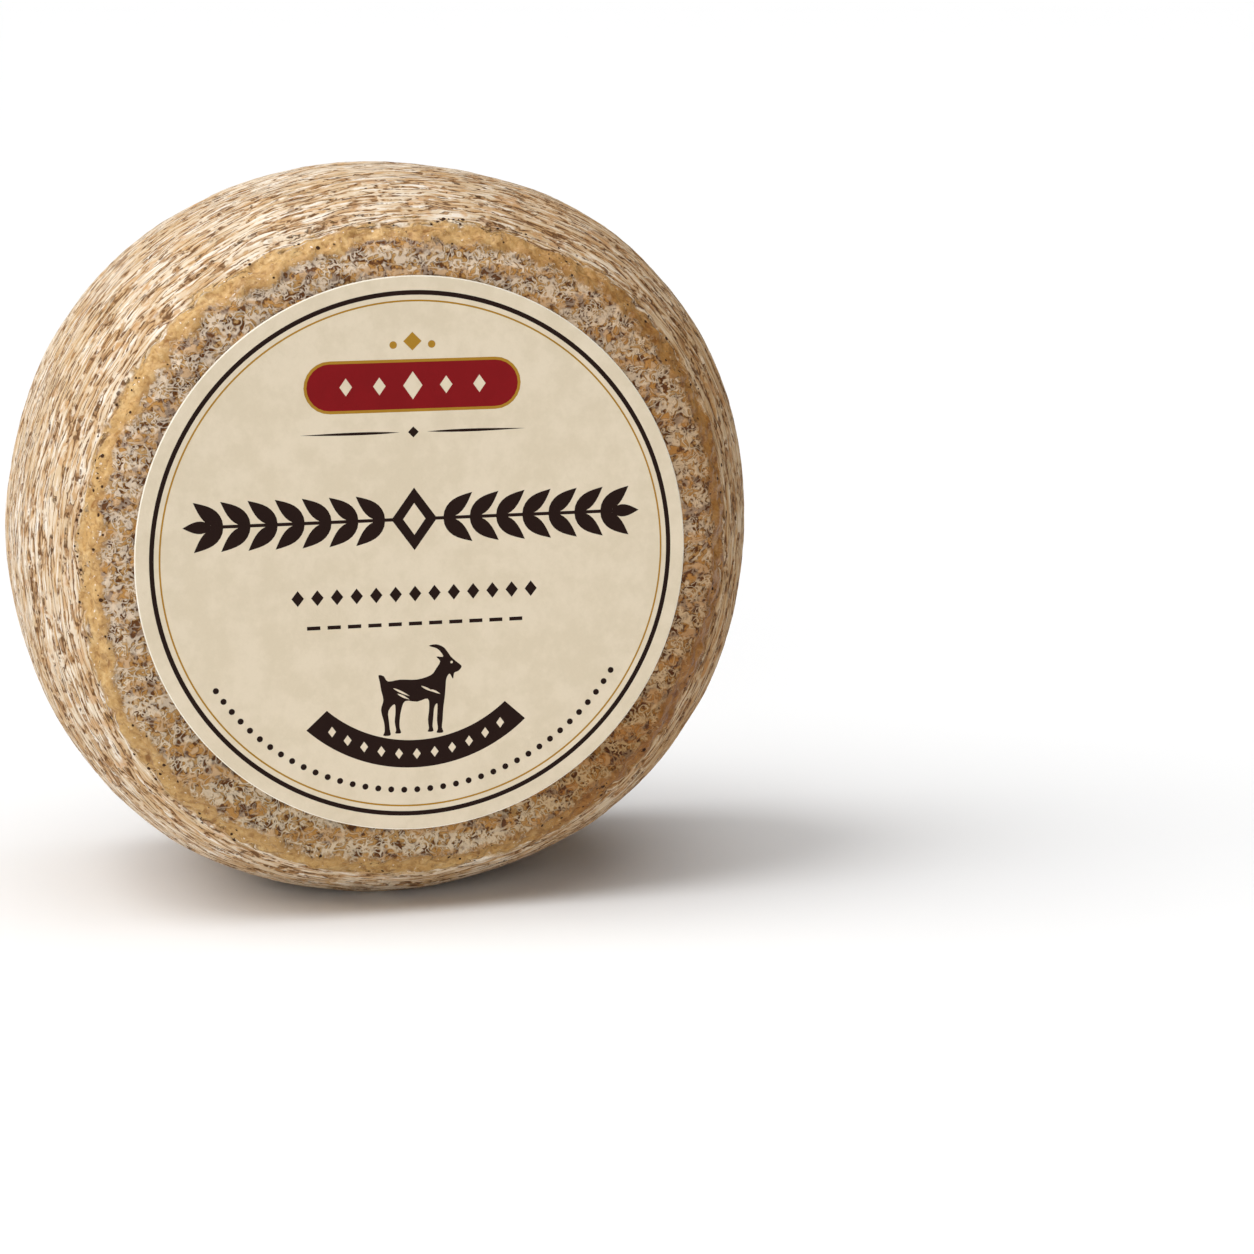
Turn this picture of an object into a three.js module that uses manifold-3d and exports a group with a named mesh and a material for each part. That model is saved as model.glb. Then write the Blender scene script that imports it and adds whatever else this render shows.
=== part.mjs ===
// A small round mountain cheese with a natural rind and a round paper label.
// The wheel stands on its rim: its axis lies along Y, the labelled face looks along -Y.
// Millimetres, +Z up. The origin is the middle of the patch it stands on.

import * as THREE from 'three';
import { mergeVertices } from 'three/addons/utils/BufferGeometryUtils.js';
import Module from 'manifold-3d';

// ---- Driving dimensions -------------------------------------------------------------

const wheelRadius = 90;          // mean radius round the middle of the rim
const wheelThickness = 100;      // from face to face
const faceFlatRadius = 71;       // each face is flat out to here
const shoulderRadius = 76.2;     // where the face's rounded edge meets the rim
const shoulderDrop = 2.7;        // how far the rounded edge falls back from the face
const rimFullness = 3.3;         // power of the rim's bulge: 2 is a plain arch, more is fuller
const settling = 1.5;            // how far the soft rim has sunk flat under its own weight

const labelRadius = 66.4;
const labelThickness = 0.4;      // paper with its film of paste

// The wheel was turned and salted by hand, so it is a little out of round. Seen from the
// labelled face the rim stands out most at the upper right and the lower left.
const diagonalSwell = 1.0;       // two swells, on the diagonal
const squareness = 0.7;          // four swells, on both diagonals

const roundSegments = 96;
const rimSteps = 12;             // rings across the rim, from the shoulder to the middle
const shoulderSteps = 4;         // rings round each face's edge
const labelSegments = 96;

// ---- Finishes -----------------------------------------------------------------------

const rindFinish = new THREE.MeshStandardMaterial({ color: 0xc9ad84, roughness: 0.75, metalness: 0 });
const labelFinish = new THREE.MeshStandardMaterial({ color: 0xe6d9ba, roughness: 0.6, metalness: 0 });

// ---- Geometry -----------------------------------------------------------------------

const halfThickness = wheelThickness / 2;
const shoulderY = halfThickness - shoulderDrop;

// Distance of the rind from the axis at y millimetres from the middle of the rim.
function rimRadiusAt(y) {
  const bulge = 1 - (Math.abs(y) / shoulderY) ** rimFullness;
  return shoulderRadius + (wheelRadius - shoulderRadius) * bulge;
}

// The outline from the axis, over one face's edge and the rim, to the axis again.
function wheelOutline() {
  const half = [];
  for (let i = 0; i <= shoulderSteps; i += 1) {
    const share = i / shoulderSteps;
    const radius = faceFlatRadius + (shoulderRadius - faceFlatRadius) * share;
    half.push([radius, halfThickness - shoulderDrop * share ** 2]);
  }
  for (let i = 1; i <= rimSteps; i += 1) {
    const y = shoulderY * Math.cos((Math.PI / 2) * (i / rimSteps));
    half.push([rimRadiusAt(y), y]);
  }
  const front = half.map(([radius, y]) => new THREE.Vector2(radius, -y));
  const back = half.slice(0, -1).reverse().map(([radius, y]) => new THREE.Vector2(radius, y));
  const onAxis = (y) => new THREE.Vector2(0, y);
  return [onAxis(-halfThickness), ...front, ...back, onAxis(halfThickness)];
}

// How far the rim stands out from its mean radius in the direction x, z from the axis.
function outOfRound(x, z) {
  const angle = Math.atan2(z, x);
  return diagonalSwell * Math.sin(2 * angle) - squareness * Math.cos(4 * angle);
}

// Merges shared vertices and drops the flat triangles that a lathe leaves on its axis.
function closedGeometry(source) {
  const bare = source.clone();
  bare.deleteAttribute('normal');
  bare.deleteAttribute('uv');
  const merged = mergeVertices(bare, 1e-4);
  const corners = merged.index.array;
  const kept = [];
  for (let i = 0; i < corners.length; i += 3) {
    const [a, b, c] = [corners[i], corners[i + 1], corners[i + 2]];
    if (a !== b && b !== c && c !== a) kept.push(a, b, c);
  }
  merged.setIndex(kept);
  return merged;
}

function toManifold(wasm, geometry) {
  const closed = closedGeometry(geometry);
  return new wasm.Manifold(new wasm.Mesh({
    numProp: 3,
    vertProperties: Float32Array.from(closed.attributes.position.array),
    triVerts: Uint32Array.from(closed.index.array),
  }));
}

function toGeometry(manifold) {
  const mesh = manifold.getMesh();
  const geometry = new THREE.BufferGeometry();
  geometry.setAttribute('position', new THREE.BufferAttribute(mesh.vertProperties, mesh.numProp));
  geometry.setIndex(new THREE.BufferAttribute(mesh.triVerts, 1));
  geometry.computeVertexNormals();
  return geometry;
}

// The lathed wheel, pulled out of round, lifted onto its rim and pressed flat underneath.
function wheelGeometry(wasm, centreHeight) {
  const lathe = new THREE.LatheGeometry(wheelOutline(), roundSegments);
  const position = lathe.attributes.position;
  for (let i = 0; i < position.count; i += 1) {
    const x = position.getX(i);
    const z = position.getZ(i);
    const stretch = 1 + outOfRound(x, z) / wheelRadius;
    position.setX(i, x * stretch);
    position.setZ(i, z * stretch);
  }
  lathe.translate(0, 0, centreHeight);

  const room = 4 * wheelRadius;
  const aboveSurface = new THREE.BoxGeometry(room, room, room);
  aboveSurface.translate(0, 0, room / 2);
  const pressed = toManifold(wasm, lathe).intersect(toManifold(wasm, aboveSurface));
  return toGeometry(pressed);
}

function labelGeometry() {
  const disc = new THREE.CylinderGeometry(labelRadius, labelRadius, labelThickness, labelSegments);
  return closedGeometry(disc);
}

// ---- The object ---------------------------------------------------------------------

const wasm = await Module();
wasm.setup();

const lowestRadius = wheelRadius + outOfRound(0, -1);
const centreHeight = lowestRadius - settling;

const wheel = new THREE.Mesh(wheelGeometry(wasm, centreHeight), rindFinish);
wheel.name = 'cheese_wheel';

const label = new THREE.Mesh(labelGeometry(), labelFinish);
label.name = 'paper_label';
label.position.set(0, -halfThickness - labelThickness / 2, centreHeight);

const cheese = new THREE.Group();
cheese.add(wheel, label);

export default cheese;
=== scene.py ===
import math

import bpy
import numpy as np
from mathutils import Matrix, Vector
from mathutils.geometry import delaunay_2d_cdt


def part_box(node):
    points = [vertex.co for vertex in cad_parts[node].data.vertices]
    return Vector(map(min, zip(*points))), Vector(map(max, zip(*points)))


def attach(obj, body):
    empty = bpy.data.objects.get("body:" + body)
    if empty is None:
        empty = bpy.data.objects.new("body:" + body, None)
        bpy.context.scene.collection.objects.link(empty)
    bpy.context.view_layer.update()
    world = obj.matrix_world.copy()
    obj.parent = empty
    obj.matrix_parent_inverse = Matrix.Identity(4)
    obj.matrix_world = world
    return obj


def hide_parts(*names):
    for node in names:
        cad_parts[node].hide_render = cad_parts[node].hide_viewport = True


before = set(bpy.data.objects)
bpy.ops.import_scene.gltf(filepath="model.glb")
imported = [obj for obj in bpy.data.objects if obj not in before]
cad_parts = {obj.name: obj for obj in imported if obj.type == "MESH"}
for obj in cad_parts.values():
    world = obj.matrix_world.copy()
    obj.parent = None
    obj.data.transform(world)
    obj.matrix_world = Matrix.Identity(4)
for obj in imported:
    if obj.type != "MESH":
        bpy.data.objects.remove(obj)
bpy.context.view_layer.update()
mm = 0.001
print("frame loaded")


# Shader maths: a Wire is an output socket that can be added to, multiplied and so on.
class Wire:
    def __init__(self, finish, socket):
        self.finish = finish
        self.socket = socket

    def math(self, operation, first, second=0.0):
        return self.finish.math(operation, first, second)

    def __add__(self, other):
        return self.math("ADD", self, other)

    def __sub__(self, other):
        return self.math("SUBTRACT", self, other)

    def __mul__(self, other):
        return self.math("MULTIPLY", self, other)

    def __radd__(self, other):
        return self.math("ADD", other, self)

    def __rsub__(self, other):
        return self.math("SUBTRACT", other, self)

    def __rmul__(self, other):
        return self.math("MULTIPLY", other, self)

    def __abs__(self):
        return self.math("ABSOLUTE", self)


# A material and the nodes behind it.
class Finish:
    def __init__(self, name, constants):
        self.material = bpy.data.materials.new(name)
        self.material.use_nodes = True
        self.tree = self.material.node_tree
        self.tree.nodes.clear()
        self.shader = self.tree.nodes.new("ShaderNodeBsdfPrincipled")
        output = self.tree.nodes.new("ShaderNodeOutputMaterial")
        self.tree.links.new(self.shader.outputs[0], output.inputs[0])
        for socketName, value in constants.items():
            self.shader.inputs[socketName].default_value = value

    def node(self, kind, settings=None, values=None, output=0):
        made = self.tree.nodes.new(kind)
        for key, value in (settings or {}).items():
            setattr(made, key, value)
        for key, value in (values or {}).items():
            self.feed(made.inputs[key], value)
        return Wire(self, made.outputs[output])

    def feed(self, socket, value):
        if isinstance(value, Wire):
            self.tree.links.new(value.socket, socket)
        else:
            socket.default_value = value

    def drive(self, socketName, value):
        self.feed(self.shader.inputs[socketName], value)

    # A value stored at the mesh's points.
    def attribute(self, name, output="Fac"):
        return self.node("ShaderNodeAttribute", {"attribute_name": name}, output=output)

    def math(self, operation, first, second=0.0):
        return self.node("ShaderNodeMath", {"operation": operation}, {0: first, 1: second})

    def vector(self, operation, first, second, output=0):
        return self.node("ShaderNodeVectorMath", {"operation": operation}, {0: first, 1: second}, output)

    # The place on the object in millimetres, measured from where the wheel rests.
    def place(self, scaleX=1.0, scaleY=1.0, scaleZ=1.0):
        where = self.node("ShaderNodeTexCoord", output="Object")
        return self.vector("MULTIPLY", where, (scaleX / mm, scaleY / mm, scaleZ / mm))

    # The same, measured from the wheel's axis.
    def axisPlace(self):
        return self.vector("ADD", self.place(), (0.0, 0.0, -axisHeight))

    # One coordinate, X, Y or Z, of a place.
    def coordinate(self, where, letter):
        return self.node("ShaderNodeSeparateXYZ", None, {"Vector": where}, letter)

    # Noise from 0 to 1 with features of about a size in millimetres. The offset looks elsewhere in it.
    def noise(self, where, size, detail=2.0, roughness=0.5, distortion=0.0, offset=0.0):
        moved = self.vector("ADD", where, (offset,) * 3)
        values = {"Vector": moved, "Scale": 1 / size, "Detail": detail,
                  "Roughness": roughness, "Distortion": distortion}
        return self.node("ShaderNodeTexNoise", {"noise_dimensions": "3D"}, values)

    # 0 below low, 1 above high, smooth between.
    def step(self, value, low, high):
        values = {"Value": value, "From Min": low, "From Max": high}
        return self.node("ShaderNodeMapRange", {"interpolation_type": "SMOOTHSTEP"}, values)

    # Thin lines where a noise crosses a level: 1 on the line, which is solid over a share of its width.
    def lines(self, noise, width, level=0.5, solid=0.4):
        return 1 - self.step(abs(noise - level), solid * width, width)

    def mix(self, amount, low, high, blend="MIX"):
        settings = {"data_type": "RGBA", "blend_type": blend}
        return self.node("ShaderNodeMix", settings, {0: amount, 6: low, 7: high}, output=2)

    def bump(self, height, distance, strength=1.0):
        values = {"Height": height, "Distance": distance, "Strength": strength}
        return self.node("ShaderNodeBump", None, values)


# An sRGB colour given as 0 to 255.
def ink(red, green, blue):
    linear = []
    for part in (red, green, blue):
        share = part / 255
        linear.append(share / 12.92 if share <= 0.04045 else ((share + 0.055) / 1.055) ** 2.4)
    return (*linear, 1.0)


# Gradient noise on a seeded lattice, about -1 to 1, for points in millimetres.
class Relief:
    directionCount = 4096  # a power of two, so that a mask picks one
    mixers = (73856093, 19349663, 83492791)
    octaveShift = 17.3
    gain = 1.6

    def __init__(self, seed):
        generator = np.random.default_rng(seed)
        directions = generator.normal(size=(self.directionCount, 3))
        self.directions = directions / np.linalg.norm(directions, axis=1, keepdims=True)
        self.shift = generator.uniform(-500, 500, 3)

    def at(self, points, size):
        scaled = points / size + self.shift
        cell = np.floor(scaled).astype(np.int64)
        inside = scaled - cell
        fade = inside ** 3 * (inside * (inside * 6 - 15) + 10)
        total = np.zeros(len(points))
        for corner in np.ndindex(2, 2, 2):
            spot = cell + corner
            mixed = np.bitwise_xor.reduce(spot * self.mixers, axis=1)
            direction = self.directions[mixed & (self.directionCount - 1)]
            weight = np.prod(np.where(np.array(corner) == 1, fade, 1 - fade), axis=1)
            total += weight * np.einsum("ij,ij->i", direction, inside - corner)
        return total * self.gain

    def rough(self, points, size, octaves=3, fall=0.5):
        total = np.zeros(len(points))
        for octave in range(octaves):
            total += self.at(points + self.octaveShift * octave, size / 2 ** octave) * fall ** octave
        return total


# 0 below low, 1 above high, smooth between, for arrays.
def smooth(values, low, high):
    share = np.clip((values - low) / (high - low), 0, 1)
    return share * share * (3 - 2 * share)


# The camera. Angles in degrees, lens in millimetres, distance in wheel radii from the wheel's middle.
cameraView = {"azimuth": -11.3, "elevation": 8.9, "distance": 10.08, "lens": 103.1,
              "turnRight": 4.1, "tiltDown": 1.66}


# The direction of a camera or light from the object. Azimuth 0 is straight in front.
def outwardDirection(place):
    azimuth, elevation = math.radians(place["azimuth"]), math.radians(place["elevation"])
    return Vector((math.sin(azimuth) * math.cos(elevation),
                   -math.cos(azimuth) * math.cos(elevation), math.sin(elevation)))


def makeCamera(look, centre, radius):
    yaw = math.radians(look["azimuth"] - look["turnRight"])
    pitch = math.radians(look["elevation"] + look["tiltDown"])
    data = bpy.data.cameras.new("camera")
    data.lens = look["lens"]
    camera = bpy.data.objects.new("camera", data)
    camera.location = centre + outwardDirection(look) * look["distance"] * radius
    camera.rotation_euler = (math.pi / 2 - pitch, 0, yaw)
    bpy.context.scene.collection.objects.link(camera)
    bpy.context.scene.camera = camera


wheelLow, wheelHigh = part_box("cheese_wheel")
labelLow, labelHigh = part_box("paper_label")
labelRadius = (labelHigh.x - labelLow.x) / 2 / mm
axisHeight = (labelHigh.z + labelLow.z) / 2 / mm
makeCamera(cameraView, Vector((0, 0, axisHeight * mm)), (wheelHigh.x - wheelLow.x) / 2)
print("camera placed")


# The rind's shape, in millimetres.
rind = {
    # The outline, as the wheel was turned.
    "faceFlatRadius": 71.0, "shoulderRadius": 76.2, "shoulderDrop": 2.7, "rimFullness": 3.3,
    "diagonalSwell": 1.0, "squareness": 0.7,
    # The mesh: points round the rim, and how far apart its rings are.
    "around": 640, "fewestAround": 20, "crowding": 0.55,
    "rimStep": 0.45, "faceStep": 0.75, "underLabel": 2.0, "ringGap": 0.3,
    # Slow lumps, and a bulge to one side.
    "lump": 0.45, "lumpSize": 34.0, "lumpFrom": (-8.0, -3.5),
    "bulge": 1.8, "bulgeTowards": 6.0, "bulgeSpan": (0.1, 1.0), "bulgeFrom": (4.0, 26.0),
    # Where the face ends and the rim starts, across the edge.
    "faceEdgeSway": 1.9, "faceEdgeSize": 6.5, "faceEdgeFray": 0.6, "faceEdgeFraySize": 2.6,
    "rimEdgeSway": 1.2, "rimEdgeSize": 9.0, "faceEnds": (-2.4, -0.8), "rimStarts": (2.6, 5.2),
    # Folds along the rim.
    "foldSize": 2.4, "foldStretch": 0.085, "foldDepth": 0.28, "foldRise": 0.8, "grooveWidth": 0.16,
    "sway": 1.7, "swaySize": 16.0, "fineSway": 0.36, "fineSwaySize": 5.5, "rimNubble": 0.06,
    # Mat ridges and nubbles on the faces.
    "ridgeSpacing": 7.4, "ridgeDepth": 1.0, "ridgeWander": 1.5, "ridgeWanderSize": 24.0,
    "ridgeBreak": 0.5, "ridgeBreakSize": 6.0, "nubble": 0.42, "nubbleSize": 2.3, "faceSink": 0.15,
    # The waxy lip between them.
    "lipSwell": 1.1, "lipSize": 6.0, "lipRise": 0.1,
    # How high the rind may stand under the label and on the faces.
    "labelMargin": 0.4, "labelCeiling": -0.12, "faceCeiling": 0.1,
    # Pinholes in the lip, with how far apart they may be and how often each gap is used.
    "pits": 420, "pitReach": (1.6, 2.24), "pitSeed": 41, "pitZone": (-1.2, 5.5),
    "pitGaps": (1.6, 3.2, 5.5), "pitGapOdds": (0.25, 0.45, 0.3),
    "reliefSeeds": (3, 5, 7, 11, 13),
}
halfThickness = (wheelHigh.y - wheelLow.y) / 2 / mm
wheelRadius = (wheelHigh.x - wheelLow.x) / 2 / mm + rind["squareness"]


# Points of the outline as (radius, y) from the middle of the front face to that of the back.
def outlinePoints(shape, rimSamples=4000, edgeSamples=200):
    shoulderY = halfThickness - shape["shoulderDrop"]
    rimY = np.linspace(-shoulderY, shoulderY, rimSamples)
    fullness = 1 - (np.abs(rimY) / shoulderY) ** shape["rimFullness"]
    rimR = shape["shoulderRadius"] + (wheelRadius - shape["shoulderRadius"]) * fullness
    share = np.linspace(0, 1, edgeSamples)[:-1]
    edgeR = shape["faceFlatRadius"] + (shape["shoulderRadius"] - shape["faceFlatRadius"]) * share
    edgeY = -halfThickness + shape["shoulderDrop"] * share ** 2
    rimLine, edgeLine = np.column_stack([rimR, rimY]), np.column_stack([edgeR, edgeY])
    curve = np.vstack([edgeLine, rimLine, (edgeLine * (1, -1))[::-1]])
    steps = np.linalg.norm(np.diff(curve, axis=0), axis=1)
    along = np.concatenate([[0], np.cumsum(steps)])
    count = round(along[-1] / shape["rimStep"])
    even = np.linspace(0, along[-1], count)
    edge = np.column_stack([np.interp(even, along, curve[:, 0]), np.interp(even, along, curve[:, 1])])
    # The front face is finer where the label leaves it bare.
    flatEnd = shape["faceFlatRadius"] - shape["ringGap"]
    fineStart = labelRadius - shape["underLabel"]
    flat = np.arange(shape["faceStep"], flatEnd, shape["faceStep"])
    ring = np.arange(fineStart, flatEnd, shape["rimStep"])
    shown = np.concatenate([flat[flat < fineStart - shape["ringGap"]], ring])
    front = np.column_stack([shown, np.full(len(shown), -halfThickness)])
    back = np.column_stack([flat[::-1], np.full(len(flat), halfThickness)])
    return np.vstack([front, edge, back])


# How many points a ring has: halved towards the middle of a face.
def ringCount(radius, shape):
    count = shape["around"]
    closest = shape["crowding"] * shape["faceStep"]
    while count > shape["fewestAround"] and 2 * math.pi * radius / count < closest:
        count //= 2
    return count


# Joins ring a to ring b, where b has as many points, half or twice as many.
def bridge(faces, startA, countA, startB, countB):
    if countA == countB:
        for j in range(countA):
            k = (j + 1) % countA
            faces.append((startA + j, startA + k, startB + k, startB + j))
    elif countA > countB:
        for j in range(countB):
            a, b, c = 2 * j, 2 * j + 1, (2 * j + 2) % countA
            k = (j + 1) % countB
            faces.append((startA + a, startA + b, startB + j))
            faces.append((startA + b, startB + k, startB + j))
            faces.append((startA + b, startA + c, startB + k))
    else:
        for j in range(countA):
            a, b, c = 2 * j, 2 * j + 1, (2 * j + 2) % countB
            k = (j + 1) % countA
            faces.append((startB + b, startB + a, startA + j))
            faces.append((startA + j, startA + k, startB + b))
            faces.append((startA + k, startB + c, startB + b))


def makeWheel(shape):
    outline = outlinePoints(shape)
    slope = np.gradient(outline, axis=0)
    normals = np.column_stack([slope[:, 1], -slope[:, 0]])
    normals /= np.linalg.norm(normals, axis=1, keepdims=True)
    rows, starts, counts = [], [], []
    total = 1
    for (radius, y), (outwardR, outwardY) in zip(outline, normals):
        count = ringCount(radius, shape)
        angle = np.arange(count) * 2 * np.pi / count
        rows.append(np.column_stack([angle, np.full(count, radius), np.full(count, y),
                                     np.full(count, outwardR), np.full(count, outwardY)]))
        starts.append(total)
        counts.append(count)
        total += count
    faces = []
    for i in range(len(starts) - 1):
        bridge(faces, starts[i], counts[i], starts[i + 1], counts[i + 1])
    for j in range(counts[0]):
        faces.append((0, starts[0] + (j + 1) % counts[0], starts[0] + j))
    for j in range(counts[-1]):
        faces.append((total, starts[-1] + j, starts[-1] + (j + 1) % counts[-1]))
    pole = np.array([[0.0, 0.0, -halfThickness, 0.0, -1.0]])
    grid = np.vstack([pole, *rows, pole * (1, 1, -1, 1, -1)])
    angle, radius, y, outwardR, outwardY = grid.T

    swell = shape["diagonalSwell"] * np.sin(2 * angle) - shape["squareness"] * np.cos(4 * angle)
    stretch = 1 + swell / wheelRadius
    flatPoints = np.column_stack([radius * stretch * np.cos(angle), y, radius * stretch * np.sin(angle)])
    zones = findZones(shape, flatPoints, radius, y)
    pitCentre, pitNear = findPits(shape, flatPoints, zones)
    height = zones["height"]
    outward = np.column_stack([outwardR * np.cos(angle), outwardY, outwardR * np.sin(angle)])
    points = flatPoints + outward * height[:, None]
    points[:, 2] = np.maximum(points[:, 2] + axisHeight, 0.0)  # settled where it rests

    mesh = bpy.data.meshes.new("rind")
    mesh.from_pydata((points * mm).tolist(), [], faces)
    mesh.shade_smooth()
    for name in ("faceEdge", "rimEdge", "ridge", "fold", "nubble"):
        layer = mesh.attributes.new(name, "FLOAT", "POINT")
        layer.data.foreach_set("value", zones[name].astype(np.float32))
    layer = mesh.attributes.new("pitNear", "FLOAT", "POINT")
    layer.data.foreach_set("value", pitNear.astype(np.float32))
    layer = mesh.attributes.new("pitCentre", "FLOAT_VECTOR", "POINT")
    layer.data.foreach_set("vector", pitCentre.astype(np.float32).ravel())
    wheel = bpy.data.objects.new("ripened_wheel", mesh)
    bpy.context.scene.collection.objects.link(wheel)
    return wheel


# Pinholes along both edges. Each point near one keeps the hole's middle, so that it can be drawn finely.
def findPits(shape, points, zones):
    generator = np.random.default_rng(shape["pitSeed"])
    nearest, farthest = shape["pitZone"]
    edge = np.flatnonzero((zones["faceEdge"] > nearest) & (zones["rimEdge"] < farthest))
    chosen = []
    for candidate in generator.permutation(edge):
        spot = points[candidate]
        gap = generator.choice(shape["pitGaps"], p=shape["pitGapOdds"])
        if all(np.linalg.norm(spot - points[other]) > gap for other in chosen):
            chosen.append(candidate)
        if len(chosen) == shape["pits"]:
            break
    centres = points[chosen]
    toPit = np.full(len(points), np.inf)
    owner = np.zeros(len(points), int)
    for index, centre in enumerate(centres):
        away = np.linalg.norm(points - centre, axis=1)
        closer = away < toPit
        toPit[closer] = away[closer]
        owner[closer] = index
    return centres[owner], 1 - smooth(toPit, *shape["pitReach"])


# What the rind is at each point, and how far it stands out, in millimetres. Reliefs are read at shifted
# points where one has to serve twice.
def findZones(shape, points, radius, y):
    lumps, wrinkles, nubbles, edges, mats = (Relief(seed) for seed in shape["reliefSeeds"])
    drop = halfThickness - np.abs(y)
    pastShoulder = radius - shape["shoulderRadius"]
    belowShoulder = drop - shape["shoulderDrop"]
    # Distance across the edge, from the flat face (negative) on to the rim.
    across = np.where(belowShoulder > 0, np.hypot(belowShoulder, pastShoulder), pastShoulder)
    faceEdge = across + edges.rough(points, shape["faceEdgeSize"], 2) * shape["faceEdgeSway"]
    faceEdge = faceEdge + edges.rough(points + 40, shape["faceEdgeFraySize"], 2) * shape["faceEdgeFray"]
    rimEdge = across + edges.rough(points + 90, shape["rimEdgeSize"], 3) * shape["rimEdgeSway"]
    face = 1 - smooth(faceEdge, *shape["faceEnds"])
    lip = (1 - face) * (1 - smooth(rimEdge, *shape["rimStarts"]))
    rim = (1 - face) * (1 - lip)

    # The ridges that the draining mat leaves run level across each face.
    wander = mats.rough(points, shape["ridgeWanderSize"], 2) * shape["ridgeWander"]
    phase = (points[:, 2] + wander) / shape["ridgeSpacing"]
    ridge = 0.5 + 0.5 * np.cos(2 * np.pi * phase)
    ridge = ridge + mats.rough(points + 60, shape["ridgeBreakSize"], 2) * shape["ridgeBreak"]
    ridge = np.clip(ridge, 0, 1)

    # The grain of the rim: long folds round the wheel that wander, meet and part.
    stretched = points * (shape["foldStretch"], 1.0, shape["foldStretch"])
    slow = wrinkles.at(points, shape["swaySize"])
    quick = wrinkles.at(points + 33, shape["fineSwaySize"])
    stretched[:, 1] += shape["sway"] * (slow + shape["fineSway"] * quick)
    fold = wrinkles.rough(stretched, shape["foldSize"], 2, 0.45)
    groove = 1 - smooth(np.abs(fold), 0.0, shape["grooveWidth"])
    nubble = nubbles.rough(points, shape["nubbleSize"], 2, 0.6)

    lump = shape["lump"] * lumps.rough(points, shape["lumpSize"], 3, 0.45)
    towards = math.radians(shape["bulgeTowards"])
    sideways = (points[:, 0] * math.cos(towards) + points[:, 2] * math.sin(towards)) / wheelRadius
    bulge = shape["bulge"] * smooth(sideways, *shape["bulgeSpan"]) * smooth(across, *shape["bulgeFrom"])
    onRim = shape["foldDepth"] * (shape["foldRise"] * np.abs(fold) - groove) + shape["rimNubble"] * nubble
    onLip = shape["lipSwell"] * edges.rough(points + 7, shape["lipSize"], 3, 0.6) + shape["lipRise"]
    onFace = shape["ridgeDepth"] * (ridge - 1) + shape["nubble"] * nubble - shape["faceSink"]
    height = lump * smooth(across, *shape["lumpFrom"]) + bulge + rim * onRim + lip * onLip + face * onFace
    underLabel = (radius < labelRadius + shape["labelMargin"]) & (y < 0)
    height = np.where(underLabel, np.minimum(height, shape["labelCeiling"]), height)
    onFlat = radius < shape["faceFlatRadius"]
    height = np.where(onFlat, np.minimum(height, shape["faceCeiling"]), height)
    return {"height": height, "faceEdge": faceEdge, "rimEdge": rimEdge,
            "ridge": ridge, "fold": fold, "nubble": nubble}


wheel = makeWheel(rind)
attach(wheel, "root")
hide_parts("cheese_wheel")
print("wheel shaped", len(wheel.data.vertices))


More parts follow.
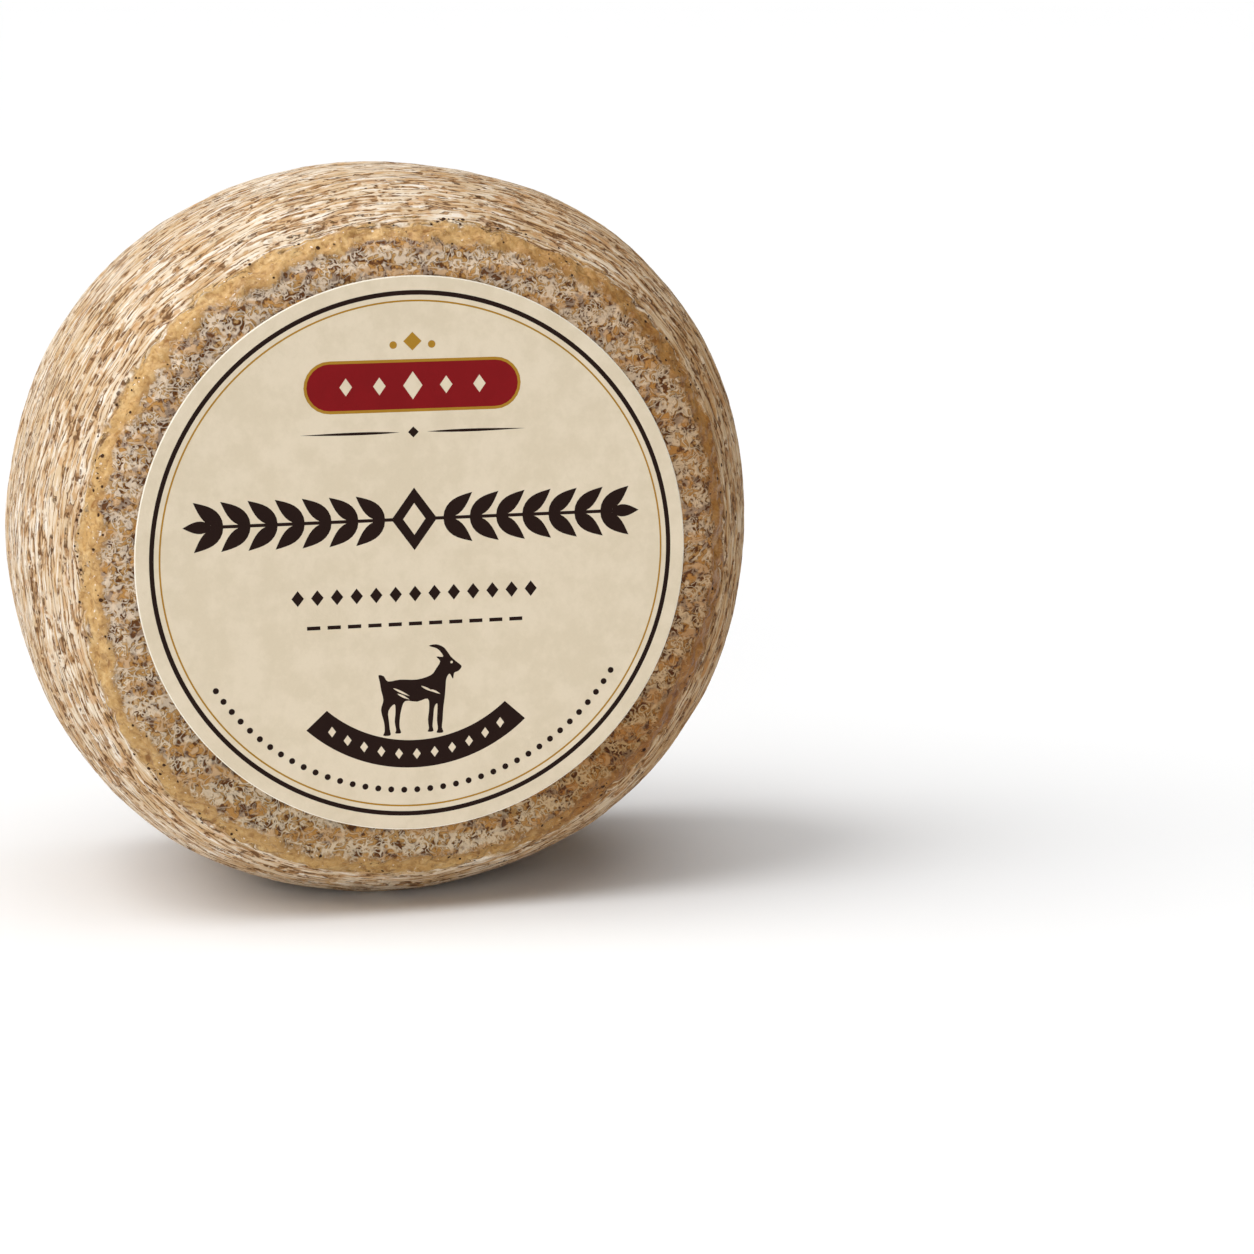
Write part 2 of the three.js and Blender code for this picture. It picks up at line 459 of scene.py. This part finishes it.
# The rind's looks.
rindLook = {
    # Colours in white light. The tint for the browner side, which is partly painted shade, and the two
    # tints for low down multiply what is under them.
    "colours": {
        "bloom": ink(231, 214, 190), "bloomShade": ink(213, 187, 152), "chalkAndHighlight": ink(243, 233, 220),
        "streak": ink(194, 152, 103), "crease": ink(156, 113, 68), "dark": ink(100, 65, 35),
        "spot": ink(202, 154, 103), "amber": ink(201, 160, 102), "amberDeep": ink(142, 97, 48),
        "amberPale": ink(219, 184, 130), "fibre": ink(230, 211, 188), "mat": ink(174, 128, 70),
        "matPale": ink(192, 154, 104), "earth": ink(98, 57, 21), "ridgeTan": ink(182, 130, 64),
        "pinholeShade": ink(66, 38, 16), "shadedBrownSide": (0.75, 0.65, 0.52, 1.0),
        "lowTint": (0.81, 0.80, 0.74, 1.0), "lowSideTint": (0.8, 0.58, 0.25, 1.0),
    },
    # Size in millimetres, detail, roughness, distortion, and an offset that sets each noise apart.
    "noises": {
        "fray": (1.6, 2.0, 0.6, 0.6, 7.0), "strands": (0.72, 2.0, 0.6, 0.0, 9.0),
        "fine": (1.25, 1.0, 0.5, 0.0, 1.0), "broken": (2.6, 2.0, 0.6, 0.0, 21.0),
        "speck": (1.5, 1.0, 0.6, 0.0, 27.0), "patch": (19.0, 3.0, 0.6, 0.0, 31.0),
        "spots": (4.5, 2.0, 0.5, 0.4, 44.0), "mottle": (3.6, 3.0, 0.6, 0.3, 55.0),
        "grains": (0.9, 1.0, 0.5, 0.0, 58.0), "crumb": (1.5, 2.0, 0.6, 0.4, 66.0),
        "wideCurls": (2.5, 0.0, 0.5, 1.0, 61.0), "tightCurls": (1.9, 0.0, 0.5, 1.4, 71.0),
        "cover": (3.4, 2.0, 0.6, 0.3, 81.0), "grit": (0.8, 2.0, 0.6, 0.0, 91.0),
    },
    # From where to where a layer fades in. Face, lip, inner, the browner shaded side and low are in
    # millimetres.
    "spans": {
        "face": (-2.0, -0.9), "lip": (3.0, 5.0), "inner": (-1.2, 1.0),
        "shadedBrownSide": (-8.0, 88.0), "low": (20.0, 90.0),
        "shade": (0.36, 0.64), "chalkAndHighlight": (0.52, 0.66), "streaks": (0.34, 0.48), "spots": (0.58, 0.7),
        "creases": (0.3, 0.5), "hairs": (0.38, 0.5), "dashes": (0.44, 0.52), "darkHairs": (0.5, 0.6),
        "amber": (0.24, 0.46), "pale": (0.52, 0.7), "darkCrumb": (0.34, 0.5), "paleCrumb": (0.54, 0.68),
        "paintedGlints": (0.69, 0.76), "pits": (-0.06, 0.1), "wideCurls": (0.38, 0.48), "tightCurls": (0.5, 0.6),
        "gaps": (-0.42, 0.05), "ground": (0.35, 0.65), "ridges": (0.5, 0.85),
    },
    # How much of a layer shows.
    "amounts": {
        "chalkAndHighlight": 0.85, "streaks": 0.85, "spots": 0.65, "creases": 0.8, "hairs": 0.8, "darkness": 0.85,
        "darkCrumb": 0.5, "paleCrumb": 0.6, "inner": 0.35, "paintedGlints": 0.8, "ridges": 0.85, "curls": 0.8,
    },
    # The bump's layers, in shares of its depth.
    "heights": {
        "strands": 0.9, "hairs": 0.5, "darkness": 0.4, "curls": 0.9, "grit": 0.5, "gaps": 0.25,
        "mottle": 1.6, "crumb": 0.9, "grains": 0.35, "pits": 1.6,
    },
    # How wide lines are, as a share of the noise they are drawn from.
    "widths": {"creases": 0.17, "dashes": 0.05, "hairs": 0.065, "darkHairs": 0.045, "curls": 0.13},
    # How far strands and fray shift things, then the pinholes in millimetres, then the surface.
    "strandStretch": 0.09, "strandSway": 0.9, "strandFray": 0.6,
    "faceFray": 3.2, "rimFray": 3.0, "rimReach": 7.0,
    "gapFray": 1.8, "ridgeFray": 2.4, "curlsOffRidges": 0.6, "shadedBrownSideFray": 70.0, "rimKeepsPale": 0.8,
    "pitSize": 0.62, "pitVariety": 3.0, "pitFray": 0.4,
    "roughness": 0.8, "waxShine": 0.42, "ridgeShine": 0.7, "specular": 0.22, "bumpDepth": 0.35,
}


def rindFinish(look):
    colours, noises, spans = look["colours"], look["noises"], look["spans"]
    amounts, heights, widths = look["amounts"], look["heights"], look["widths"]
    finish = Finish("rind", {"Specular IOR Level": look["specular"]})
    where = finish.place()
    ridge, fold, nubble = (finish.attribute(name) for name in ("ridge", "fold", "nubble"))
    fray = finish.noise(where, *noises["fray"]) - 0.5

    # Strands that run round the wheel. They fray the zones' borders too.
    lengthways = finish.place(look["strandStretch"], 1.0, look["strandStretch"])
    strandShift = fold * look["strandSway"] + fray * look["strandFray"]
    sway = finish.node("ShaderNodeCombineXYZ", None, {"Y": strandShift})
    along = finish.vector("ADD", lengthways, sway)
    strands = finish.noise(along, *noises["strands"])
    faceEdge = finish.attribute("faceEdge") + fray * look["faceFray"]
    rimEdge = finish.attribute("rimEdge") - fray * look["rimFray"] + (strands - 0.5) * look["rimReach"]
    face = 1 - finish.step(faceEdge, *spans["face"])
    lip = (1 - face) * (1 - finish.step(rimEdge, *spans["lip"]))
    rim = (1 - face) * (1 - lip)

    # Rim: pale strands parted by fine brown lines.
    fine = finish.noise(along, *noises["fine"])
    broken = finish.noise(where, *noises["broken"])
    speck = finish.noise(where, *noises["speck"])
    patch = finish.noise(where, *noises["patch"])
    spots = finish.step(finish.noise(where, *noises["spots"]), *spans["spots"])
    creases = finish.lines(fold, widths["creases"], 0.0) * finish.step(broken, *spans["creases"])
    hairs = finish.lines(fine, widths["hairs"]) * finish.step(broken, *spans["hairs"])
    dashes = finish.lines(fold, widths["dashes"], 0.0) * finish.step(broken, *spans["dashes"])
    darkHairs = finish.lines(fine, widths["darkHairs"]) * finish.step(speck, *spans["darkHairs"])
    darkness = finish.math("MAXIMUM", dashes, darkHairs)
    # The palest strand tops are partly whiter mould, partly painted highlight where the strands stand
    # highest.
    chalkAndHighlight = finish.step(strands, *spans["chalkAndHighlight"])
    streaks = 1 - finish.step(strands, *spans["streaks"])
    rimColour = finish.mix(finish.step(patch, *spans["shade"]), colours["bloom"], colours["bloomShade"])
    rimColour = finish.mix(chalkAndHighlight * amounts["chalkAndHighlight"], rimColour, colours["chalkAndHighlight"])
    rimColour = finish.mix(streaks * amounts["streaks"], rimColour, colours["streak"])
    rimColour = finish.mix(spots * amounts["spots"], rimColour, colours["spot"])
    rimColour = finish.mix(creases * amounts["creases"], rimColour, colours["streak"])
    rimColour = finish.mix(hairs * amounts["hairs"], rimColour, colours["crease"])
    rimColour = finish.mix(darkness * amounts["darkness"], rimColour, colours["dark"])

    # Edge: waxy amber with pinholes, browner where it meets the face, and small painted highlights as
    # glints.
    mottle = finish.noise(where, *noises["mottle"])
    grains = finish.noise(where, *noises["grains"])
    crumb = finish.noise(where, *noises["crumb"])
    darkCrumb = 1 - finish.step(crumb, *spans["darkCrumb"])
    paleCrumb = finish.step(crumb, *spans["paleCrumb"])
    inner = 1 - finish.step(faceEdge, *spans["inner"])
    # Small pale dots on the lumps are painted highlights standing in for glints.
    paintedGlints = finish.step(grains, *spans["paintedGlints"])
    lipColour = finish.mix(finish.step(mottle, *spans["amber"]), colours["amberDeep"], colours["amber"])
    lipColour = finish.mix(finish.step(mottle, *spans["pale"]), lipColour, colours["amberPale"])
    lipColour = finish.mix(darkCrumb * amounts["darkCrumb"], lipColour, colours["amberDeep"])
    lipColour = finish.mix(paleCrumb * amounts["paleCrumb"], lipColour, colours["amberPale"])
    lipColour = finish.mix(inner * amounts["inner"], lipColour, colours["amberDeep"])
    lipColour = finish.mix(paintedGlints * amounts["paintedGlints"], lipColour, colours["chalkAndHighlight"])
    centre = finish.attribute("pitCentre", "Vector")
    pitAway = finish.vector("DISTANCE", finish.axisPlace(), centre, "Value")
    pitSize = finish.noise(centre, look["pitVariety"], 0.0) * look["pitSize"]
    pitShape = pitAway + fray * look["pitFray"] - pitSize
    pits = (1 - finish.step(pitShape, *spans["pits"])) * finish.attribute("pitNear")

    # Face: pale curled fibres of mould over brown gaps, amber on the ridges.
    cover = finish.noise(where, *noises["cover"])
    grit = finish.noise(where, *noises["grit"])
    wideCurls = finish.lines(finish.noise(where, *noises["wideCurls"]), widths["curls"])
    wideCurls = wideCurls * finish.step(cover, *spans["wideCurls"])
    tightCurls = finish.lines(finish.noise(where, *noises["tightCurls"]), widths["curls"])
    tightCurls = tightCurls * (1 - finish.step(cover, *spans["tightCurls"]))
    curls = finish.math("MAXIMUM", wideCurls, tightCurls)
    gaps = 1 - finish.step(nubble + (grit - 0.5) * look["gapFray"], *spans["gaps"])
    amberRidge = finish.step(ridge + (cover - 0.5) * look["ridgeFray"], *spans["ridges"])
    fibres = curls * (1 - amberRidge * look["curlsOffRidges"])
    ground = finish.mix(finish.step(grit, *spans["ground"]), colours["mat"], colours["matPale"])
    ground = finish.mix(amberRidge * amounts["ridges"], ground, colours["ridgeTan"])
    ground = finish.mix(gaps, ground, colours["earth"])
    faceColour = finish.mix(fibres * amounts["curls"], ground, colours["fibre"])

    colour = finish.mix(lip, rimColour, lipColour)
    colour = finish.mix(face, colour, faceColour)
    # The pinholes are painted dark: painted shade inside each hole.
    colour = finish.mix(pits, colour, colours["pinholeShade"])
    # One side, towards +X, is browner and darker, its lip most of all: partly a browner tone, partly
    # painted shade on the side away from the lights.
    shadedBrownSide = finish.step(finish.coordinate(where, "X") + (patch - 0.5) * look["shadedBrownSideFray"], *spans["shadedBrownSide"])
    colour = finish.mix(shadedBrownSide, colour, colours["shadedBrownSide"], "MULTIPLY")
    colour = finish.mix(shadedBrownSide * lip, colour, colours["shadedBrownSide"], "MULTIPLY")
    # The faces and the lip are darker towards the bottom, most of all on the browner, shaded side.
    low = 1 - finish.step(finish.coordinate(where, "Z"), *spans["low"])
    low = low * (1 - rim * look["rimKeepsPale"])
    colour = finish.mix(low, colour, colours["lowTint"], "MULTIPLY")
    colour = finish.mix(low * shadedBrownSide, colour, colours["lowSideTint"], "MULTIPLY")
    finish.drive("Base Color", colour)
    waxy = lip * (1 - pits) + face * amberRidge * look["ridgeShine"]
    finish.drive("Roughness", look["roughness"] - waxy * look["waxShine"])
    rimHeight = strands * heights["strands"] - hairs * heights["hairs"] - darkness * heights["darkness"]
    faceHeight = curls * heights["curls"] + grit * heights["grit"] - gaps * heights["gaps"]
    lipHeight = mottle * heights["mottle"] + crumb * heights["crumb"] + grains * heights["grains"]
    height = rim * rimHeight + face * faceHeight + lip * lipHeight - pits * heights["pits"]
    finish.drive("Normal", finish.bump(height, look["bumpDepth"] * mm))
    return finish.material


wheel.data.materials.append(rindFinish(rindLook))
print("rind finished")


# The label, in millimetres. Printed shapes are placed from its middle, x to the right and z up.
label = {
    "ringRadius": 62.4, "ringWidth": 1.1, "goldRadius": 60.5, "goldWidth": 0.42,
    "plaqueHeight": 40.6, "plaqueWidth": 52.0, "plaqueDepth": 12.4, "plaqueBorder": 0.7,
    "plaqueDiamond": (3.0, 4.2), "plaqueMiddle": (4.6, 6.6), "plaquePitch": 8.0,
    "crestDiamond": (4.4, 4.4), "crestRise": 10.4, "crestDot": 0.9, "crestDotAside": 4.6,
    "crestDotRise": 9.6,
    "ruleHeight": 29.6, "ruleDiamond": (2.6, 2.6), "ruleLine": (24.0, 0.7), "ruleGap": 3.2,
    "garlandHeight": 8.9, "garlandReach": 52.0, "stemWidth": 0.8, "leafSize": (9.2, 3.6), "leafLean": 40,
    "leafFrom": 7.0, "leafPitch": 6.4, "tipLeaf": (7.0, 3.0), "tipOverlap": 4.0,
    "garlandDiamond": (11.0, 15.0), "garlandHollow": (5.4, 7.6),
    "diamondRow": -9.0, "rowDiamond": (3.0, 3.8), "diamondPitch": 4.7, "diamondsEachSide": 6,
    "dashRow": -16.2, "rowDash": (3.2, 0.9), "dashPitch": 4.9, "dashesEachSide": 5,
    "goatPlace": (0.2, -43.0), "goatEye": 0.32, "goatEyePlace": (8.7, 17.0),
    "tuftWidth": 0.5, "tuftLean": -28,
    "ribbonCentre": -12.1, "ribbonInner": 32.4, "ribbonOuter": 39.1, "ribbonSpread": 42.0,
    "ribbonSlant": 1.0, "ribbonDiamond": (1.9, 2.6), "ribbonDiamonds": 11, "ribbonMargin": 7.0,
    "beadRadius": 56.6, "beadFrom": 212.0, "beadTo": 328.0, "beads": 37, "beadSize": 0.75,
    "gridStep": 3.2, "chamfer": 0.28, "wave": 0.16, "waveSize": 24.0, "waveSeed": 23,
    "roundSteps": 180, "ribbonSteps": 40, "dotSteps": 20, "beadSteps": 12, "eyeSteps": 10,
}
# The cut edge's colour is partly the paper's whiter core and partly painted highlight.
labelColours = {"paper": ink(229, 214, 189), "darkInk": ink(34, 15, 8), "goldInk": ink(172, 128, 40),
                "redInk": ink(132, 14, 20), "cutEdgeAndHighlight": ink(250, 243, 228)}


def arc(radius, fromDegrees, toDegrees, steps, centreX=0.0, centreZ=0.0):
    angle = np.radians(np.linspace(fromDegrees, toDegrees, steps))
    return np.column_stack([centreX + radius * np.cos(angle), centreZ + radius * np.sin(angle)])


def circle(radius, steps, centreX=0.0, centreZ=0.0):
    return arc(radius, 0, 360, steps + 1, centreX, centreZ)[:-1]


def stadium(width, height, z):
    end = height / 2
    reach = width / 2 - end
    return np.vstack([arc(end, -90, 90, 13, reach, z), arc(end, 90, 270, 13, -reach, z)])


def diamond(width, height, x, z):
    return np.array([(x + width / 2, z), (x, z + height / 2), (x - width / 2, z), (x, z - height / 2)])


def bar(width, height, x, z):
    a, b = width / 2, height / 2
    return np.array([(x - a, z - b), (x + a, z - b), (x + a, z + b), (x - a, z + b)])


# A pointed leaf growing from x, z in the direction of the angle.
def leaf(length, width, degrees, x, z):
    share = np.linspace(0, 1, 9)
    side = width / 2 * np.sin(np.pi * share ** 0.8)
    outline = np.vstack([np.column_stack([share * length, -side]),
                         np.column_stack([share * length, side])[-2:0:-1]])
    turn = math.radians(degrees)
    rotation = np.array([[math.cos(turn), math.sin(turn)], [-math.sin(turn), math.cos(turn)]])
    return outline @ rotation + (x, z)


# A goat in outline, looking right, with its feet at height 0.
goatOutline = [
    (10.6, 15.2), (10.9, 16.0), (9.4, 17.3), (8.3, 18.4), (7.7, 19.3), (6.6, 20.7), (4.8, 21.5),
    (3.0, 21.2), (4.9, 20.5), (6.0, 19.4), (6.4, 18.4), (4.8, 18.5), (5.7, 17.3), (4.7, 15.6),
    (3.4, 14.1), (0.0, 13.2), (-4.0, 13.4), (-7.0, 13.1), (-8.0, 14.4), (-9.3, 14.7), (-9.0, 13.0),
    (-8.7, 11.0), (-8.2, 8.6), (-8.8, 6.2), (-8.1, 3.2), (-8.0, 1.0), (-8.3, 0.0), (-6.6, 0.0),
    (-6.7, 1.3), (-6.9, 3.4), (-7.0, 5.9), (-5.5, 7.5), (-5.3, 5.6), (-5.5, 3.2), (-5.2, 1.2),
    (-5.4, 0.4), (-4.0, 0.4), (-4.3, 1.6), (-4.3, 3.4), (-3.9, 5.9), (-2.9, 8.1), (0.0, 7.8),
    (2.6, 8.4), (2.9, 6.0), (2.6, 3.3), (2.8, 1.2), (2.5, 0.4), (3.9, 0.4), (3.7, 1.6),
    (3.9, 3.7), (4.2, 6.3), (4.9, 7.1), (4.9, 5.1), (4.8, 2.9), (5.0, 1.0), (4.7, 0.0),
    (6.3, 0.0), (6.0, 1.3), (6.2, 3.3), (6.4, 6.1), (6.8, 9.0), (7.0, 11.3), (7.2, 13.1),
    (8.0, 14.2), (8.8, 12.9), (9.1, 14.3), (10.0, 14.7),
]


# Pale tufts on the goat's coat: x, height and length.
goatTufts = [(-5.6, 11.4, 4.6), (-4.6, 10.0, 3.4), (1.2, 11.6, 3.6), (3.6, 10.6, 2.6)]


# Rounds a drawn outline with a Catmull-Rom curve through its points.
def rounded(outline, steps=3):
    points = np.array(outline)
    before, after, later = np.roll(points, 1, 0), np.roll(points, -1, 0), np.roll(points, -2, 0)
    rows = []
    for t in np.arange(steps) / steps:
        rows.append(0.5 * (2 * points + (after - before) * t
                           + (2 * before - 5 * points + 4 * after - later) * t ** 2
                           + (3 * points - before - 3 * after + later) * t ** 3))
    return np.stack(rows, 1).reshape(-1, 2)


# Each of these returns (ink, outline) pairs, the lower ones first.
def drawRings(shape):
    rings = [("paper", circle(labelRadius - shape["chamfer"], shape["roundSteps"]))]
    for radius, width, inkName in ((shape["ringRadius"], shape["ringWidth"], "darkInk"),
                                   (shape["goldRadius"], shape["goldWidth"], "goldInk")):
        rings.append((inkName, circle(radius + width / 2, shape["roundSteps"])))
        rings.append(("paper", circle(radius - width / 2, shape["roundSteps"])))
    return rings


def drawPlaque(shape):
    width, depth, z = shape["plaqueWidth"], shape["plaqueDepth"], shape["plaqueHeight"]
    border = 2 * shape["plaqueBorder"]
    plaque = [("goldInk", stadium(width, depth, z)), ("redInk", stadium(width - border, depth - border, z))]
    for place in (-2, -1, 1, 2):
        plaque.append(("paper", diamond(*shape["plaqueDiamond"], place * shape["plaquePitch"], z)))
    plaque.append(("paper", diamond(*shape["plaqueMiddle"], 0.0, z)))
    plaque.append(("goldInk", diamond(*shape["crestDiamond"], 0.0, z + shape["crestRise"])))
    for side in (-1, 1):
        x, dotZ = side * shape["crestDotAside"], z + shape["crestDotRise"]
        plaque.append(("goldInk", circle(shape["crestDot"], shape["dotSteps"], x, dotZ)))
    return plaque


def drawRule(shape):
    z = shape["ruleHeight"]
    rule = [("darkInk", diamond(*shape["ruleDiamond"], 0.0, z))]
    for side in (-1, 1):
        rule.append(("darkInk", leaf(*shape["ruleLine"], 90 - side * 90, side * shape["ruleGap"], z)))
    return rule


def drawGarland(shape):
    z, reach = shape["garlandHeight"], shape["garlandReach"]
    garland = [("darkInk", bar(2 * reach, shape["stemWidth"], 0.0, z))]
    for side in (-1, 1):
        for place in np.arange(shape["leafFrom"], reach - 1, shape["leafPitch"]):
            for lean in (-shape["leafLean"], shape["leafLean"]):
                degrees = lean if side > 0 else 180 - lean
                garland.append(("darkInk", leaf(*shape["leafSize"], degrees, side * place, z)))
        tipStart = side * (reach - shape["tipOverlap"])
        garland.append(("darkInk", leaf(*shape["tipLeaf"], 90 - side * 90, tipStart, z)))
    garland.append(("darkInk", diamond(*shape["garlandDiamond"], 0.0, z)))
    garland.append(("paper", diamond(*shape["garlandHollow"], 0.0, z)))
    return garland


def drawRows(shape):
    rows = []
    reach = shape["diamondsEachSide"]
    for place in range(-reach, reach + 1):
        x = place * shape["diamondPitch"]
        rows.append(("darkInk", diamond(*shape["rowDiamond"], x, shape["diamondRow"])))
    reach = shape["dashesEachSide"]
    for place in range(-reach, reach + 1):
        x = place * shape["dashPitch"]
        rows.append(("darkInk", bar(*shape["rowDash"], x, shape["dashRow"])))
    return rows


def drawGoat(shape):
    goat = [("darkInk", rounded(goatOutline) + shape["goatPlace"])]
    ground = shape["goatPlace"][1]
    eyeX, eyeHeight = shape["goatEyePlace"]
    goat.append(("paper", circle(shape["goatEye"], shape["eyeSteps"], eyeX, eyeHeight + ground)))
    for x, height, length in goatTufts:
        goat.append(("paper", leaf(length, shape["tuftWidth"], shape["tuftLean"], x, height + ground)))
    return goat


def drawRibbon(shape):
    z, slant, margin = shape["ribbonCentre"], shape["ribbonSlant"], shape["ribbonMargin"]
    low, high = 270 - shape["ribbonSpread"], 270 + shape["ribbonSpread"]
    outer = arc(shape["ribbonOuter"], low - slant, high + slant, shape["ribbonSteps"], 0.0, z)
    inner = arc(shape["ribbonInner"], high, low, shape["ribbonSteps"], 0.0, z)
    ribbon = [("darkInk", np.vstack([outer, inner]))]
    middle = (shape["ribbonInner"] + shape["ribbonOuter"]) / 2
    for x, diamondZ in arc(middle, low + margin, high - margin, shape["ribbonDiamonds"], 0.0, z):
        ribbon.append(("paper", diamond(*shape["ribbonDiamond"], x, diamondZ)))
    for x, beadZ in arc(shape["beadRadius"], shape["beadFrom"], shape["beadTo"], shape["beads"]):
        ribbon.append(("darkInk", circle(shape["beadSize"], shape["beadSteps"], x, beadZ)))
    return ribbon


def makeLabel(shape):
    flatRadius = labelRadius - shape["chamfer"]
    tiny = 1e-3
    drawing = []
    for draw in (drawRings, drawPlaque, drawRule, drawGarland, drawRows, drawGoat, drawRibbon):
        drawing += draw(shape)
    points, loops = [], []
    for _, outline in drawing:
        loops.append(list(range(len(points), len(points) + len(outline))))
        points.extend(Vector(p) for p in outline.tolist())
    # Loose points over the paper, so that it can wave.
    steps = np.arange(-labelRadius, labelRadius, shape["gridStep"])
    for x in steps:
        for z in steps:
            if math.hypot(x, z) < flatRadius - 1:
                points.append(Vector((x, z)))
    flat, _, faces, _, _, owners = delaunay_2d_cdt(points, [], loops, 1, tiny / 100, True)
    flat = np.array([tuple(p) for p in flat])
    relief = Relief(shape["waveSeed"])
    spread = np.column_stack([flat[:, 0], np.zeros(len(flat)), flat[:, 1]])
    front = labelLow.y / mm + shape["wave"] * np.clip(0.5 + relief.at(spread, shape["waveSize"]), 0, 1)
    vertices = np.column_stack([flat[:, 0], front, flat[:, 1] + axisHeight]).tolist()
    slotNames = list(labelColours)
    polygons, slots = [], []
    for corners, owner in zip(faces, owners):
        polygons.append(corners)
        slots.append(slotNames.index(drawing[max(owner)][0]))

    # The cut edge: a small chamfer, then the wall, then the pasted back. Its colour is whiter than the
    # paper: partly the paper's whiter core, partly painted highlight.
    angles = np.arctan2(flat[:, 1], flat[:, 0])
    border = np.flatnonzero(np.hypot(flat[:, 0], flat[:, 1]) > flatRadius - tiny)
    border = border[np.argsort(angles[border])]
    count = len(border)
    wall = len(vertices)
    back = wall + count
    for depth in (front[border] + shape["chamfer"], np.full(count, labelHigh.y / mm)):
        ringX, ringZ = labelRadius * np.cos(angles[border]), labelRadius * np.sin(angles[border])
        vertices.extend(np.column_stack([ringX, depth, ringZ + axisHeight]).tolist())
    for j in range(count):
        k = (j + 1) % count
        polygons.append((border[j], wall + j, wall + k, border[k]))
        polygons.append((wall + j, back + j, back + k, wall + k))
    polygons.append(tuple(back + j for j in range(count))[::-1])
    slots += [slotNames.index("cutEdgeAndHighlight")] * (2 * count) + [slotNames.index("paper")]
    mesh = bpy.data.meshes.new("label")
    mesh.from_pydata((np.array(vertices) * mm).tolist(), [], polygons)
    for name in slotNames:
        mesh.materials.append(paperFinish(name, paperLook))
    mesh.polygons.foreach_set("material_index", slots)
    mesh.shade_smooth()
    mesh.set_sharp_from_angle(angle=math.radians(30))
    made = bpy.data.objects.new("round_label", mesh)
    bpy.context.scene.collection.objects.link(made)
    return made


# The paper's looks, bare or under ink: faint clouds and a fine grain.
paperLook = {
    "cloud": (7.0, 4.0, 0.65, 0.0, 5.0), "grain": (0.5, 2.0, 0.6, 0.0, 15.0),
    "cloudSpan": (0.35, 0.65), "cloudShare": 0.6, "shade": (0.88, 0.87, 0.83),
    "roughness": 0.5, "grainRoughness": 0.15, "inkSpecular": 0.12, "paperSpecular": 0.3,
    "cloudHeight": 2.0, "bumpDepth": 0.06, "bumpStrength": 0.6,
}


def paperFinish(name, look):
    specular = look["inkSpecular"] if name.endswith("Ink") else look["paperSpecular"]
    finish = Finish(name, {"Specular IOR Level": specular})
    where = finish.place()
    cloud = finish.noise(where, *look["cloud"])
    grain = finish.noise(where, *look["grain"])
    base = labelColours[name]
    darker = (*(part * share for part, share in zip(base, look["shade"])), 1.0)
    clouded = finish.step(cloud, *look["cloudSpan"]) * look["cloudShare"]
    finish.drive("Base Color", finish.mix(clouded + grain * (1 - look["cloudShare"]), darker, base))
    finish.drive("Roughness", look["roughness"] + grain * look["grainRoughness"])
    height = cloud * look["cloudHeight"] + grain
    finish.drive("Normal", finish.bump(height, look["bumpDepth"] * mm, look["bumpStrength"]))
    return finish.material


paperLabel = makeLabel(label)
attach(paperLabel, "root")
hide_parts("paper_label")
print("label printed")


# The studio: a white floor, and broad lights from the side, from above and from the front. The floor is
# in metres, a little below the object, and the angles are in degrees.
studio = {
    "floorSize": 40.0, "floorDrop": 0.0002, "floorColour": ink(248, 248, 248), "ambient": 0.08,
    "lights": [
        {"name": "side", "strength": 2.1, "softness": 55.0, "azimuth": -88.0, "elevation": 50.0},
        {"name": "overhead", "strength": 1.5, "softness": 60.0, "azimuth": 20.0, "elevation": 84.0},
        {"name": "front", "strength": 1.05, "softness": 40.0, "azimuth": -24.0, "elevation": 10.0},
    ],
}


def makeStudio(setup):
    half = setup["floorSize"] / 2
    mesh = bpy.data.meshes.new("floor")
    corners = [(-half, -half, 0), (half, -half, 0), (half, half, 0), (-half, half, 0)]
    mesh.from_pydata(corners, [], [(0, 1, 2, 3)])
    floor = bpy.data.objects.new("floor", mesh)
    floor.location.z = -setup["floorDrop"]
    finish = Finish("floor", {"Roughness": 0.9, "Base Color": setup["floorColour"]})
    mesh.materials.append(finish.material)
    bpy.context.scene.collection.objects.link(floor)

    for light in setup["lights"]:
        sun = bpy.data.lights.new(light["name"], "SUN")
        sun.energy = light["strength"]
        sun.angle = math.radians(light["softness"])
        lamp = bpy.data.objects.new(light["name"], sun)
        lamp.rotation_euler = outwardDirection(light).to_track_quat("Z", "Y").to_euler()
        bpy.context.scene.collection.objects.link(lamp)

    # White behind everything, while the sky itself lights the object only a little.
    world = bpy.data.worlds.new("studio")
    world.use_nodes = True
    nodes, links = world.node_tree.nodes, world.node_tree.links
    background = nodes["Background"]
    lightPath = nodes.new("ShaderNodeLightPath")
    strength = nodes.new("ShaderNodeMapRange")
    strength.inputs["To Min"].default_value = setup["ambient"]
    strength.inputs["To Max"].default_value = 1.0
    links.new(lightPath.outputs["Is Camera Ray"], strength.inputs["Value"])
    links.new(strength.outputs[0], background.inputs["Strength"])
    background.inputs["Color"].default_value = (1, 1, 1, 1)
    bpy.context.scene.world = world
    bpy.context.scene.view_settings.view_transform = "Standard"


makeStudio(studio)
print("studio lit")
